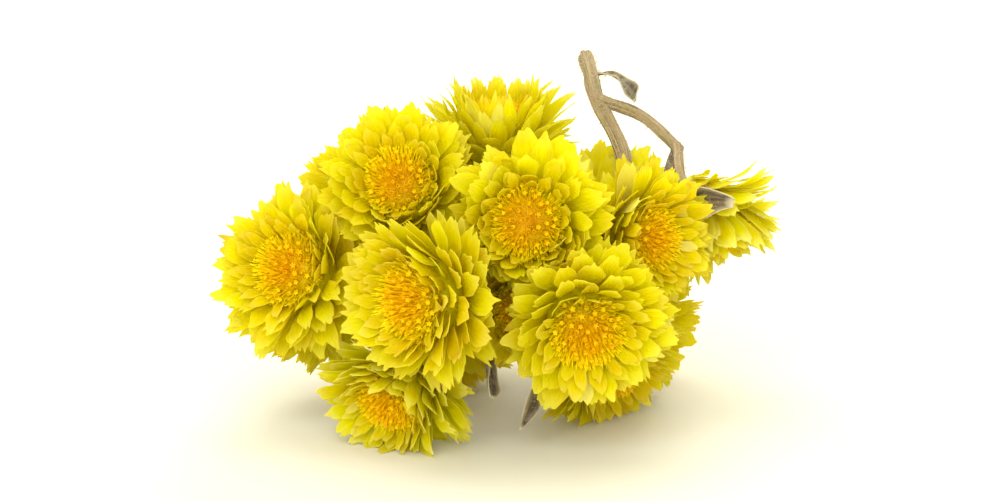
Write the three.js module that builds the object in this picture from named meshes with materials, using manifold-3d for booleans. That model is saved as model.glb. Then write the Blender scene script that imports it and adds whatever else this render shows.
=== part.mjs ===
// A dried flowering top of sandy everlasting, cut from its plant and lying on a table.
// One felted stem forks into a cluster of round heads. Each head is a cup of papery bracts, set in
// overlapping rows on a small receptacle, round a low dome of tubular florets.
// Millimetres, +Z up, +X to the right and -Y towards the viewer. The table is at Z = 0.
import * as THREE from "three";
import { mergeVertices } from "three/addons/utils/BufferGeometryUtils.js";
import Module from "manifold-3d";

// Driving dimensions. Those of a head are for a full-grown one, which each head's own size scales.
// In a head's frame Z is its axis, and the seat of its florets is at Z = 0.
const bractsInRow = 13;
const receptacle = {
  depth: 2.9,
  rings: [[1.05, -2.9], [1.55, -2.25], [1.9, -1.5], [2.1, -0.75], [2.05, 0]],
};
const bractRows = [
  { length: 3.2, rootLean: 70, tipLean: 110 },
  { length: 3.25, rootLean: 60, tipLean: 88 },
  { length: 3, rootLean: 46, tipLean: 66 },
  { length: 2.6, rootLean: 30, tipLean: 46 },
];
const bract = { notch: 0.3, keel: 0.6, shoulder: 0.74, spread: 0.44, thickness: 0.62 };
const bractScatter = { lean: 6, turn: 4, length: 0.09 };
// The leans above, in degrees from the axis, are those of a head that is open this far. The root of a
// bract takes a share of what its tip leans further or less than that.
const usualOpening = 0.8;
const openingRange = 36;
const rootFollowsTip = 0.45;
const leanStep = 6;
const leanBetweenRows = 13;
const leastLean = 12;
const mostLean = 128;
const shortenings = [1, 0.88, 0.76, 0.64, 0.52, 0.4, 0.28];
const floretDome = {
  sides: 18,
  rings: [[1.65, 0.3], [1.6, 0.85], [1.15, 1.2], [0.6, 1.35]],
  crown: 1.5,
  relief: 0.36,
};

const stalk = { sides: 6, steps: 6, radius: 0.38, collarRadius: 0.75, gap: 0.3 };
const stalkBend = { leaving: 0.3, arriving: 0.4 };
const leafBlade = { stations: [0, 0.25, 0.5, 0.75, 1], widths: [0.7, 1, 0.9, 0.6, 0], thickness: 0.6 };

// What a bract keeps clear of: the heads round its own, the stem, and the table, which the lowest
// bracts press on a little.
const clearance = 0.12;
const neighbourRange = 12;
const stemClearance = 0.65;
const stemRange = 8;
const stemSamples = 24;
const pressedFlat = 0.4;
const tableBlock = [80, 80, 10];

// Where the stem is cut and where it forks.
const joints = {
  cutEnd: [6.9, 14.6, 18.4],
  node: [7.2, 11.9, 17.8],
  fork: [7.5, 9.5, 16.8],
  outer: [12.2, 5.6, 14.8],
  hub: [4.2, 1, 9],
  upperLeft: [-0.4, 0.2, 11],
  lowerLeft: [-0.3, -1.2, 7],
  front: [5.4, -2.4, 8.6],
  right: [6.4, 1.6, 7.8],
};
const branches = [
  { from: "cutEnd", to: "fork", by: [joints.node], radius: 0.68, steps: 3 },
  { from: "fork", to: "outer", by: [[10.1, 7.9, 16.2]], radius: 0.45, steps: 3 },
  { from: "fork", to: "hub", by: [[9.1, 5.1, 13.6], [6.9, 2.4, 10.9]], radius: 0.55, steps: 7 },
  { from: "hub", to: "upperLeft", by: [[1.8, 0.4, 10.3]], radius: 0.45, steps: 3 },
  { from: "hub", to: "lowerLeft", by: [[1.8, -0.2, 7.8]], radius: 0.45, steps: 3 },
  { from: "hub", to: "front", by: [], radius: 0.45, steps: 1 },
  { from: "hub", to: "right", by: [], radius: 0.45, steps: 1 },
];

// Each head: where its florets sit, the way it faces, its size, how far its bracts have opened, from 0,
// ascending, to 1, spread flat, and the joint of the stem that its stalk grows from.
const heads = [
  { at: [-4.1, -5.5, 15.3], faces: [-0.15, -0.85, 0.5], size: 1.02, open: 0.85, from: "upperLeft" },
  { at: [3.2, -8, 13.7], faces: [-0.1, -0.97, 0.25], size: 1.08, open: 1.1, from: "front" },
  { at: [-10.3, -5, 10.1], faces: [-0.45, -0.8, 0.4], size: 1.06, open: 0.8, from: "upperLeft" },
  { at: [-3, -10.4, 9.8], faces: [-0.7, -0.7, 0.1], size: 1.14, open: 0.95, from: "lowerLeft" },
  { at: [10, -5, 12], faces: [0.62, -0.78, 0.1], size: 0.98, open: 0.75, from: "right" },
  { at: [6.5, -10.4, 8.2], faces: [0.12, -0.95, -0.2], size: 1.08, open: 0.85, from: "front" },
  { at: [-4.5, -7.2, 3.1], faces: [-0.45, -0.78, -0.42], size: 1, open: 0.8, from: "lowerLeft" },
  { at: [8.2, -2.6, 3.4], faces: [0.5, -0.6, -0.6], size: 1, open: 0.7, from: "front" },
  { at: [1.5, 0.4, 17.4], faces: [0.05, -0.1, 1], size: 0.96, open: 0.25, from: "upperLeft" },
  { at: [14.2, 1, 10.8], faces: [0.52, -0.36, -0.78], size: 1, open: 0.6, from: "outer" },
  { at: [-6, 4.2, 13.3], faces: [-0.5, 0.6, 0.6], size: 1, open: 0.75, from: "upperLeft" },
  { at: [-10.2, 2.9, 6.2], faces: [-0.8, 0.45, -0.35], size: 1, open: 0.65, from: "lowerLeft" },
  { at: [1.5, 7.3, 13.8], faces: [0, 0.75, 0.65], size: 0.98, open: 0.5, from: "upperLeft" },
  { at: [8.5, 7.4, 10.5], faces: [0.5, 0.85, 0], size: 0.95, open: 0.7, from: "right" },
  { at: [10.2, 5.2, 3.4], faces: [0.75, 0.25, -0.55], size: 0.97, open: 0.75, from: "right" },
  { at: [-2, 6.9, 3.1], faces: [-0.2, 0.5, -0.8], size: 1.02, open: 0.7, from: "lowerLeft" },
  { at: [2.6, -6.5, 8.2], faces: [-0.05, -1, 0.05], size: 0.74, open: 0.15, from: "front" },
  { at: [3.3, 8.5, 8.6], faces: [0.1, 0.97, 0.1], size: 0.78, open: 0.3, from: "right" },
];

// The few dry leaves left on the stem: the joint that each grows from, the points that it bends by and
// ends at, and its width.
const leaves = [
  { from: "outer", by: [[12.8, 2.2, 16], [12.5, -1.2, 13.8]], width: 1.3 },
  { from: "front", by: [[5, -6.4, 5.2], [2.8, -8.3, 1.3]], width: 0.9 },
  { from: "lowerLeft", by: [[1.6, -4.6, 4.6], [1.2, -7.4, 3.2]], width: 1.1 },
  { from: "node", by: [[9.4, 10.8, 18.7], [9.7, 7.8, 17.2]], width: 1 },
];

const colours = {
  bracts: { color: 0xf3e21c, roughness: 0.5, metalness: 0 },
  florets: { color: 0xeea21b, roughness: 0.85, metalness: 0 },
  stem: { color: 0xb3a48c, roughness: 0.95, metalness: 0 },
};

const wasm = await Module();
wasm.setup();
const up = new THREE.Vector3(0, 0, 1);
const inRadians = THREE.MathUtils.degToRad;

// Numbers from -1 to 1, the same ones each time for the same seed.
function seededRandom(seed) {
  const [factor, addend, range] = [1664525, 1013904223, 2 ** 32];
  let state = seed;
  return () => {
    state = (state * factor + addend) % range;
    return (state / range) * 2 - 1;
  };
}

function vector(numbers) {
  return new THREE.Vector3(...numbers);
}

function solidOf(geometry) {
  const bare = new THREE.BufferGeometry();
  bare.setAttribute("position", geometry.attributes.position);
  bare.setIndex(geometry.index);
  const welded = mergeVertices(bare);
  const vertProperties = welded.attributes.position.array;
  const triVerts = new Uint32Array(welded.index.array);
  return new wasm.Manifold(new wasm.Mesh({ numProp: 3, vertProperties, triVerts }));
}

function geometryOf(solid) {
  const { vertProperties, triVerts } = solid.getMesh();
  const geometry = new THREE.BufferGeometry();
  geometry.setAttribute("position", new THREE.BufferAttribute(vertProperties, 3));
  geometry.setIndex(new THREE.BufferAttribute(triVerts, 1));
  return geometry;
}

// A leaf's blade, flat on one face and keeled on the other, that ends in a point. It is a three-sided
// cone whose corners are moved to the blade's keel and to its two edges, along a curve.
function bladeAlong(curve, sideways, width) {
  const { stations, widths, thickness } = leafBlade;
  const lastStation = stations.length - 1;
  const geometry = new THREE.ConeGeometry(1, 1, 3, lastStation);
  const position = geometry.attributes.position;
  const corner = new THREE.Vector3();
  for (let i = 0; i < position.count; i += 1) {
    corner.fromBufferAttribute(position, i);
    const station = Math.round((corner.y + 0.5) * lastStation);
    const isKeel = corner.z > 0;
    const toEdge = Math.sign(corner.x) * widths[station] * (width / 2);
    const along = curve.getTangent(stations[station]);
    const outwards = new THREE.Vector3().crossVectors(sideways, along).normalize();
    corner.copy(curve.getPoint(stations[station]));
    if (isKeel) corner.addScaledVector(outwards, thickness);
    else corner.addScaledVector(sideways, toEdge);
    position.setXYZ(i, corner.x, corner.y, corner.z);
  }
  return geometry;
}

// A closed skin that is put together corner by corner and face by face.
function newSkin(size) {
  const corners = [];
  const cornerIndex = (point) => corners.push(...point.clone().multiplyScalar(size)) / 3 - 1;
  return { corners, faces: [], cornerIndex };
}

function skinGeometry(corners, faces) {
  const geometry = new THREE.BufferGeometry();
  geometry.setAttribute("position", new THREE.Float32BufferAttribute(corners, 3));
  geometry.setIndex(faces);
  return geometry;
}

function around(turn, radius, height) {
  return new THREE.Vector3(radius * Math.cos(turn), radius * Math.sin(turn), height);
}

// Where a bract's midline runs in its own upright plane: distance from the axis, and height.
function midlineOf(rowIndex, lean, length) {
  const row = bractRows[rowIndex];
  const below = receptacle.rings[rowIndex];
  const above = receptacle.rings[rowIndex + 1];
  const rootLean = row.rootLean + (lean - row.tipLean) * rootFollowsTip;
  const step = (degrees) => new THREE.Vector2(Math.sin(inRadians(degrees)), Math.cos(inRadians(degrees)));
  const root = new THREE.Vector2((below[0] + above[0]) / 2, (below[1] + above[1]) / 2);
  const bend = root.clone().addScaledVector(step(rootLean), length / 2);
  const tip = bend.clone().addScaledVector(step(lean), length / 2);
  return new THREE.QuadraticBezierCurve(root, bend, tip);
}

// The free corners of a bract, and the two notches that part it from its neighbours in the row.
function bractCorners(rowIndex, turn, { lean, length, skew }) {
  const midline = midlineOf(rowIndex, lean, length);
  const pitch = (2 * Math.PI) / bractsInRow;
  const cornerAt = (share, sideways, depth = 0) => {
    const { x, y } = midline.getPoint(share);
    const along = midline.getTangent(share);
    return around(turn + sideways, x + along.y * depth, y - along.x * depth);
  };
  return {
    leftNotch: cornerAt(bract.notch, -pitch / 2),
    left: cornerAt(bract.shoulder, -pitch * bract.spread),
    tip: cornerAt(1, skew),
    right: cornerAt(bract.shoulder, pitch * bract.spread),
    rightNotch: cornerAt(bract.notch, pitch / 2),
    keel: cornerAt(bract.keel, 0, bract.thickness),
  };
}

function turnOf(rowIndex, index) {
  return ((index + rowIndex / 2) / bractsInRow) * 2 * Math.PI;
}

// Leans nearest the wished one come first, between the least for the row and the most that the row
// outside it leaves room for.
function leansNear(wished, least, most) {
  const start = THREE.MathUtils.clamp(wished, least, most);
  const leans = [start];
  for (let away = leanStep; away < mostLean; away += leanStep) {
    if (start - away >= least) leans.push(start - away);
    if (start + away <= most) leans.push(start + away);
  }
  return leans;
}

// A bract that would touch a neighbour, the stem or the table is bent, as little as it can be, until it
// lies clear. One that can't be bent clear is shorter. No bract bends past those of the row outside it.
function nestOf(head, isClear) {
  const random = seededRandom(head.seed);
  const rows = [];
  bractRows.forEach((row, rowIndex) => {
    const least = leastLean + (bractRows.length - 1 - rowIndex) * leanBetweenRows;
    const outer = rows[rowIndex - 1];
    const bracts = [];
    for (let i = 0; i < bractsInRow; i += 1) {
      const opened = row.tipLean + (head.open - usualOpening) * openingRange;
      const wished = opened + random() * bractScatter.lean;
      const fullLength = row.length * (1 + random() * bractScatter.length);
      const skew = inRadians(random() * bractScatter.turn);
      const beside = outer ? [outer[i], outer[(i + 1) % bractsInRow]] : [];
      const most = Math.min(mostLean, ...beside.map(({ lean }) => lean - leanBetweenRows));
      let chosen = null;
      for (const share of shortenings) {
        for (const lean of leansNear(wished, least, most)) {
          if (chosen) break;
          const form = { lean, length: fullLength * share, skew };
          if (isClear(bractCorners(rowIndex, turnOf(rowIndex, i), form))) chosen = form;
        }
      }
      bracts.push(chosen || { lean: least, length: fullLength * shortenings.at(-1), skew });
    }
    rows.push(bracts);
  });
  return rows;
}

// The bracts and their receptacle are one skin. A ring of corners runs round the receptacle between
// each row and the next, and each bract is raised from the two rings that its row lies between.
function bractsOf(head, isClear) {
  const { corners, faces, cornerIndex } = newSkin(head.size);
  const rings = receptacle.rings.map(([radius, height], ringIndex) => {
    const ring = [];
    for (let i = 0; i < bractsInRow; i += 1) {
      ring.push(cornerIndex(around(turnOf(ringIndex, i), radius, height)));
    }
    return ring;
  });
  nestOf(head, isClear).forEach((bracts, rowIndex) => {
    const forms = bracts.map((form, i) => bractCorners(rowIndex, turnOf(rowIndex, i), form));
    const notches = forms.map(({ rightNotch }, i) => {
      const next = forms[(i + 1) % bractsInRow];
      return cornerIndex(rightNotch.clone().lerp(next.leftNotch, 0.5));
    });
    forms.forEach(({ left, right, tip, keel }, i) => {
      const next = (i + 1) % bractsInRow;
      const before = (i + bractsInRow - 1) % bractsInRow;
      const [leftCorner, rightCorner, tipCorner, keelCorner] = [left, right, tip, keel].map(cornerIndex);
      const [leftNotch, rightNotch] = [notches[before], notches[i]];
      const [below, belowNext] = [rings[rowIndex][i], rings[rowIndex][next]];
      const [aboveLeft, aboveRight] = [rings[rowIndex + 1][before], rings[rowIndex + 1][i]];
      const edge = [below, rightNotch, rightCorner, tipCorner, leftCorner, leftNotch, below];
      for (let side = 0; side < edge.length - 1; side += 1) {
        faces.push(keelCorner, edge[side], edge[side + 1]);
      }
      faces.push(below, belowNext, rightNotch);
      faces.push(leftCorner, tipCorner, rightCorner, aboveLeft, leftCorner, rightCorner);
      faces.push(aboveLeft, rightCorner, aboveRight);
      faces.push(aboveLeft, leftNotch, leftCorner, aboveRight, rightCorner, rightNotch);
    });
  });
  const foot = cornerIndex(around(0, 0, -receptacle.depth));
  const seat = cornerIndex(around(0, 0, 0));
  for (let i = 0; i < bractsInRow; i += 1) {
    const next = (i + 1) % bractsInRow;
    faces.push(foot, rings[0][next], rings[0][i]);
    faces.push(seat, rings.at(-1)[i], rings.at(-1)[next]);
  }
  return skinGeometry(corners, faces);
}

// The florets stand out of their dome as rings of points: every second corner is raised, and each
// square between four corners is folded between its two low ones.
function floretsOf(head) {
  const { sides, rings, crown, relief } = floretDome;
  const { corners, faces, cornerIndex } = newSkin(head.size);
  const isRaised = (ringIndex, side) => ringIndex > 0 && (ringIndex + side) % 2 === 0;
  const ringCorners = rings.map(([radius, height], ringIndex) => {
    const ring = [];
    for (let side = 0; side < sides; side += 1) {
      const corner = around((side / sides) * 2 * Math.PI, radius, height);
      if (isRaised(ringIndex, side)) corner.addScaledVector(corner.clone().normalize(), relief);
      ring.push(cornerIndex(corner));
    }
    return ring;
  });
  const foot = cornerIndex(around(0, 0, rings[0][1]));
  const top = cornerIndex(around(0, 0, crown));
  for (let side = 0; side < sides; side += 1) {
    const next = (side + 1) % sides;
    faces.push(foot, ringCorners[0][next], ringCorners[0][side]);
    faces.push(top, ringCorners.at(-1)[side], ringCorners.at(-1)[next]);
    for (let ringIndex = 0; ringIndex < rings.length - 1; ringIndex += 1) {
      const [low, high] = [ringCorners[ringIndex], ringCorners[ringIndex + 1]];
      const fold = isRaised(ringIndex + 1, next)
        ? [low[side], low[next], high[next], low[side], high[next], high[side]]
        : [low[side], low[next], high[side], low[next], high[next], high[side]];
      faces.push(...fold);
    }
  }
  return skinGeometry(corners, faces);
}

// A round limb along a curve, with its radius at each step of the way.
function limbAlong(curve, steps, radiusAt) {
  const geometry = new THREE.CylinderGeometry(1, 1, 1, stalk.sides, steps);
  const { normals, binormals } = curve.computeFrenetFrames(steps);
  const position = geometry.attributes.position;
  const corner = new THREE.Vector3();
  for (let i = 0; i < position.count; i += 1) {
    corner.fromBufferAttribute(position, i);
    const { x, z } = corner;
    const step = Math.round((corner.y + 0.5) * steps);
    corner.copy(curve.getPointAt(step / steps));
    corner.addScaledVector(binormals[step], x * radiusAt(step));
    corner.addScaledVector(normals[step], z * radiusAt(step));
    position.setXYZ(i, corner.x, corner.y, corner.z);
  }
  return geometry;
}

// The stalk of a head leaves its joint towards the head, arrives along the head's axis and flares into
// a collar under the receptacle.
function stalkCurveOf(head) {
  const start = vector(joints[head.from]);
  const end = head.position.clone().addScaledVector(head.axis, -receptacle.depth * head.size - stalk.gap);
  const reach = start.distanceTo(end);
  const leaving = start.clone().lerp(end, stalkBend.leaving);
  const arriving = end.clone().addScaledVector(head.axis, -reach * stalkBend.arriving);
  return new THREE.CubicBezierCurve3(start, leaving, arriving, end);
}

function leafOf({ from, by, width }) {
  const midline = new THREE.QuadraticBezierCurve3(...[joints[from], ...by].map(vector));
  const chord = midline.v2.clone().sub(midline.v0);
  const sideways = new THREE.Vector3().crossVectors(up, chord).normalize();
  return bladeAlong(midline, sideways, width);
}

const [firstSeed, seedStep] = [101, 37];
for (const [index, head] of heads.entries()) {
  head.seed = firstSeed + seedStep * index;
  head.axis = vector(head.faces).normalize();
  head.position = vector(head.at);
  const spin = new THREE.Quaternion().setFromAxisAngle(up, seededRandom(head.seed)() * Math.PI);
  head.turn = new THREE.Quaternion().setFromUnitVectors(up, head.axis).multiply(spin);
  head.placed = new THREE.Matrix4().compose(head.position, head.turn, new THREE.Vector3(1, 1, 1));
  head.middle = head.position.clone().addScaledVector(head.axis, -head.size);
}

const limbs = branches.map(({ from, to, by, radius, steps }) => {
  const curve = new THREE.CatmullRomCurve3([joints[from], ...by, joints[to]].map(vector));
  return { curve, steps, radius, radiusAt: () => radius };
});
for (const head of heads) {
  const { radius, collarRadius, steps } = stalk;
  const radiusAt = (step) => (step === steps ? collarRadius : radius);
  limbs.push({ curve: stalkCurveOf(head), steps, radius, radiusAt });
}
const leafBlades = leaves.map(leafOf);

// Points all along the stem, with its radius there, for the bracts to keep clear of.
const stemPoints = limbs.flatMap(({ curve, radius }) =>
  curve.getSpacedPoints(stemSamples).map((point) => ({ point, radius })),
);
for (const blade of leafBlades) {
  const position = blade.attributes.position;
  for (let i = 0; i < position.count; i += 1) {
    const point = new THREE.Vector3().fromBufferAttribute(position, i);
    stemPoints.push({ point, radius: leafBlade.thickness / 2 });
  }
}

// Neighbouring heads share the space between them at a plane, halfway by their sizes.
function limitsOf(head) {
  const limits = [{ normal: vector([0, 0, -1]), reach: pressedFlat }];
  for (const other of heads) {
    const between = other.middle.clone().sub(head.middle);
    const distance = between.length();
    if (other === head || distance > neighbourRange) continue;
    const share = (distance * head.size) / (head.size + other.size) - clearance;
    const normal = between.normalize();
    limits.push({ normal, reach: head.middle.dot(normal) + share });
  }
  return limits;
}

function clearTestOf(head) {
  const limits = limitsOf(head);
  const nearby = stemPoints.filter(({ point }) => point.distanceTo(head.middle) < stemRange);
  const isFree = (point) =>
    limits.every(({ normal, reach }) => point.dot(normal) < reach) &&
    nearby.every((stem) => point.distanceTo(stem.point) > stem.radius + stemClearance);
  return ({ left, tip, right, keel }) => {
    const points = [left, tip, right, keel, left.clone().lerp(right, 0.5)];
    return points.every((point) =>
      isFree(point.clone().multiplyScalar(head.size).applyMatrix4(head.placed)),
    );
  };
}

// What would sink into the table is cut flat on it.
function restedOnTable(geometry, head) {
  const resting = solidOf(geometry);
  const table = new THREE.BoxGeometry(...tableBlock).translate(0, 0, -tableBlock[2] / 2);
  const block = solidOf(table.applyMatrix4(head.placed.clone().invert()));
  return geometryOf(resting.subtract(block));
}

function pieceOf(name, geometry, colour) {
  const piece = new THREE.Mesh(geometry, new THREE.MeshStandardMaterial(colour));
  piece.name = name;
  return piece;
}

const sprig = new THREE.Group();

const stemPieces = limbs.map(({ curve, steps, radiusAt }) => limbAlong(curve, steps, radiusAt));
const stem = [...stemPieces, ...leafBlades].map(solidOf).reduce((joined, piece) => joined.add(piece));
sprig.add(pieceOf("stem", geometryOf(stem), colours.stem));

heads.forEach((head, index) => {
  const number = String(index + 1).padStart(2, "0");
  const cup = restedOnTable(bractsOf(head, clearTestOf(head)), head);
  const placed = new THREE.Group();
  placed.position.copy(head.position);
  placed.quaternion.copy(head.turn);
  placed.add(pieceOf(`head_${number}_bracts`, cup, colours.bracts));
  placed.add(pieceOf(`head_${number}_florets`, floretsOf(head), colours.florets));
  sprig.add(placed);
});

// The part's origin is on the table, under the middle of the sprig's outer box.
const box = new THREE.Box3().setFromObject(sprig, true);
const middle = box.getCenter(new THREE.Vector3());
sprig.position.set(-middle.x, -middle.y, -box.min.z);

const part = new THREE.Group();
part.add(sprig);
export default part;
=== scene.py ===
# A dried flower top of sandy everlasting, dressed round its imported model: papery bracts in
# overlapping rows, bristly amber florets, a felted stem and its few dry leaves, on a pale floor.
# Sizes are millimetres and degrees until a mesh is made. Each head is worked out in its own frame,
# with Z along its axis and the florets' seat at Z = 0, for a full-grown head that its size scales.
import math

import bpy
import numpy as np
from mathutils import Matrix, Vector
from mathutils.bvhtree import BVHTree


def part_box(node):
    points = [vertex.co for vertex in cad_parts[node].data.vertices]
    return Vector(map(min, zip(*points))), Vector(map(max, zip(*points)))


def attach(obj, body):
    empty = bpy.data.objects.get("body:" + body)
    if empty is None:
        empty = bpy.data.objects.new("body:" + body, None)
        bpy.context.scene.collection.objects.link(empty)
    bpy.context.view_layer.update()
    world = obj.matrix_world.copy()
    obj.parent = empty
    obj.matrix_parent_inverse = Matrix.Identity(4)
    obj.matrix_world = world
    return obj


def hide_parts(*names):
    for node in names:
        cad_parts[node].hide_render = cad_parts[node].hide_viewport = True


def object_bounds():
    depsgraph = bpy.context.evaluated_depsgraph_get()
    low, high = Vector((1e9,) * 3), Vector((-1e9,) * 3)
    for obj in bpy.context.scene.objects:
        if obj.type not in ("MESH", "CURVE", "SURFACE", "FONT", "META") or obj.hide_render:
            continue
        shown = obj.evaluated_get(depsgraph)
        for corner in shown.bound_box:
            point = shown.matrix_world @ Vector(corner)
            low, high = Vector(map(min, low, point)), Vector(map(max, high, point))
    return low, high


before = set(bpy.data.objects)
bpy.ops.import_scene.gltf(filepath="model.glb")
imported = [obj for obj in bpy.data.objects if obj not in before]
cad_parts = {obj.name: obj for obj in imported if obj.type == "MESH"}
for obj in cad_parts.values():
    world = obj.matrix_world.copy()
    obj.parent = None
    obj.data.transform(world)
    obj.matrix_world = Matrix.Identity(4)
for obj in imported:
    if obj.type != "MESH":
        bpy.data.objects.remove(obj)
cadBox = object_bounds()
mm = 0.001
seeds = {"heads": 71, "stem": 5, "wool": 11, "leaves": 23}  # another number, another draw
print("frame loaded")


# Meshes

def addPiece(name, points, faces, materials, marks=None, sharpAngle=50, faceMaterial=None):
    mesh = bpy.data.meshes.new(name)
    mesh.from_pydata((np.asarray(points) * mm).tolist(), [], faces)
    for mark, values in (marks or {}).items():
        mesh.attributes.new(mark, "FLOAT", "POINT").data.foreach_set("value", np.ravel(values))
    for material in materials:
        mesh.materials.append(material)
    if faceMaterial is not None:
        mesh.polygons.foreach_set("material_index", faceMaterial)
    mesh.polygons.foreach_set("use_smooth", np.ones(len(mesh.polygons), bool))
    mesh.set_sharp_from_angle(angle=math.radians(sharpAngle))
    piece = bpy.data.objects.new(name, mesh)
    bpy.context.scene.collection.objects.link(piece)
    return piece


class Batch:
    # Gathers many small forms into the points, faces and marks of one mesh.
    def __init__(self):
        self.points, self.faces, self.materials, self.marks = [], [], [], {}
        self.count = 0

    def add(self, points, faces, material=0, **marks):
        points = np.asarray(points, float).reshape(-1, 3)
        self.points.append(points)
        self.faces += [[corner + self.count for corner in face] for face in faces]
        self.materials += [material] * len(faces)
        for mark, value in marks.items():
            self.marks.setdefault(mark, []).append(np.broadcast_to(value, len(points)))
        self.count += len(points)

    def piece(self, name, materials, sharpAngle=50):
        marks = {mark: np.concatenate(values) for mark, values in self.marks.items()}
        points = np.concatenate(self.points)
        return addPiece(name, points, self.faces, materials, marks, sharpAngle, self.materials)


# A thin closed shell: a grid of points, the same grid again underneath, and a rim between them.
def shellFaces(rows, columns):
    def at(row, column, side):
        return side * rows * columns + row * columns + column

    faces = []
    for row in range(rows - 1):
        for column in range(columns - 1):
            square = [(row, column), (row, column + 1), (row + 1, column + 1), (row + 1, column)]
            faces.append([at(r, c, 0) for r, c in square])
            faces.append([at(r, c, 1) for r, c in reversed(square)])
    border = [(0, c) for c in range(columns)] + [(r, columns - 1) for r in range(1, rows)]
    border += [(rows - 1, c) for c in reversed(range(columns - 1))]
    border += [(r, 0) for r in reversed(range(1, rows - 1))]
    for here, there in zip(border, border[1:] + border[:1]):
        faces.append([at(*there, 0), at(*here, 0), at(*here, 1), at(*there, 1)])
    return faces


# Rings of points joined into a closed tube, with a flat face over each end.
def tubeFaces(rings, sides):
    faces = [list(reversed(range(sides))), [(rings - 1) * sides + side for side in range(sides)]]
    for ring in range(rings - 1):
        for side in range(sides):
            ahead = (side + 1) % sides
            low, high = ring * sides, (ring + 1) * sides
            faces.append([low + side, low + ahead, high + ahead, high + side])
    return faces


def turnsOf(sides):
    return np.arange(sides) * 2 * math.pi / sides


# Points of rings round one axis, each ring given by its radius and its height.
def lathed(rings, sides):
    return [(r * math.cos(turn), r * math.sin(turn), z) for r, z in rings for turn in turnsOf(sides)]


# Directions out from an axis and round it.
def outwardAt(turn):
    return np.array([math.cos(turn), math.sin(turn), 0])


def roundAt(turn):
    return np.array([-math.sin(turn), math.cos(turn), 0])


def turnAbout(angle):
    c, s = math.cos(angle), math.sin(angle)
    return np.array([[c, -s, 0], [s, c, 0], [0, 0, 1]])


def unit(vectors):
    vectors = np.asarray(vectors, float)
    return vectors / np.maximum(np.linalg.norm(vectors, axis=-1, keepdims=True), 1e-9)


# Directions across a path that turn as little as they can along it.
def framesAlong(path):
    tangents = unit(np.gradient(path, axis=0))
    start = np.cross(tangents[0], [0, 0, 1] if abs(tangents[0][2]) < 0.9 else [1, 0, 0])
    sideways = [unit(start)]
    for tangent in tangents[1:]:
        previous = sideways[-1]
        sideways.append(unit(previous - tangent * (previous @ tangent)))
    sideways = np.array(sideways)
    return tangents, sideways, np.cross(tangents, sideways)


def bezier(points, share):
    share = np.asarray(share)[:, None]
    points = [np.asarray(point, float) for point in points]
    while len(points) > 1:
        points = [a + (b - a) * share for a, b in zip(points, points[1:])]
    return points[0]


# A smooth path through the points, by cubic pieces.
def throughPoints(points, spacing):
    points = np.asarray(points, float)
    slopes = np.gradient(points, axis=0) / 3
    path = []
    for here, there, leaving, arriving in zip(points, points[1:], slopes, slopes[1:]):
        steps = max(3, round(np.linalg.norm(there - here) / spacing))
        bend = (here, here + leaving, there - arriving, there)
        path.append(bezier(bend, np.linspace(0, 1, steps, endpoint=False)))
    return np.concatenate([*path, points[-1:]])


# Shader building

def setInputs(tree, made, inputs):
    for name, value in inputs.items():
        socket = made.inputs[name]
        if isinstance(value, bpy.types.NodeSocket):
            tree.links.new(value, socket)
        elif isinstance(value, tuple) and len(value) == 3:
            socket.default_value = (*value, 1)  # a colour, given without its alpha
        else:
            socket.default_value = value


def node(tree, kind, inputs=None, **settings):
    made = tree.nodes.new("ShaderNode" + kind)
    for name, value in settings.items():
        setattr(made, name, value)
    setInputs(tree, made, inputs or {})
    return made


def mathNode(tree, operation, first, second=0.0):
    return node(tree, "Math", {0: first, 1: second}, operation=operation).outputs[0]


def times(tree, first, second):
    return mathNode(tree, "MULTIPLY", first, second)


def mixColour(tree, share, first, second, blend="MIX"):
    inputs = {"Factor": share, 6: first, 7: second}
    return node(tree, "Mix", inputs, data_type="RGBA", blend_type=blend).outputs[2]


# The colour multiplied by a stain, as far as the mask says.
def stained(tree, mask, colour, stain):
    return mixColour(tree, mask, colour, mixColour(tree, 1.0, colour, stain, "MULTIPLY"))


def rescale(tree, value, low, high, newLow=0.0, newHigh=1.0):
    inputs = {"Value": value, "From Min": low, "From Max": high, "To Min": newLow, "To Max": newHigh}
    return node(tree, "MapRange", inputs, interpolation_type="SMOOTHSTEP").outputs[0]


def colourRamp(tree, value, stops):
    made = node(tree, "ValToRGB", {0: value})
    elements = made.color_ramp.elements
    while len(elements) < len(stops):
        elements.new(0.5)
    for element, (place, colour) in zip(elements, stops):
        element.position = place
        element.color = (*colour, 1)
    return made.outputs[0]


def mark(tree, name):
    return node(tree, "Attribute", attribute_name=name).outputs["Fac"]


# A group of named values in, and one value or mask out.
def newGroup(name, inputs, output):
    group = bpy.data.node_groups.new(name, "ShaderNodeTree")
    for socketName, value in inputs.items():
        socket = group.interface.new_socket(socketName, in_out="INPUT", socket_type="NodeSocketFloat")
        socket.default_value = value
    group.interface.new_socket(output, in_out="OUTPUT", socket_type="NodeSocketFloat")
    return group, group.nodes.new("NodeGroupInput").outputs, group.nodes.new("NodeGroupOutput").inputs


def placeGroup(tree, group, inputs):
    made = tree.nodes.new("ShaderNodeGroup")
    made.node_tree = group
    setInputs(tree, made, inputs)
    return made.outputs[0]


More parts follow.
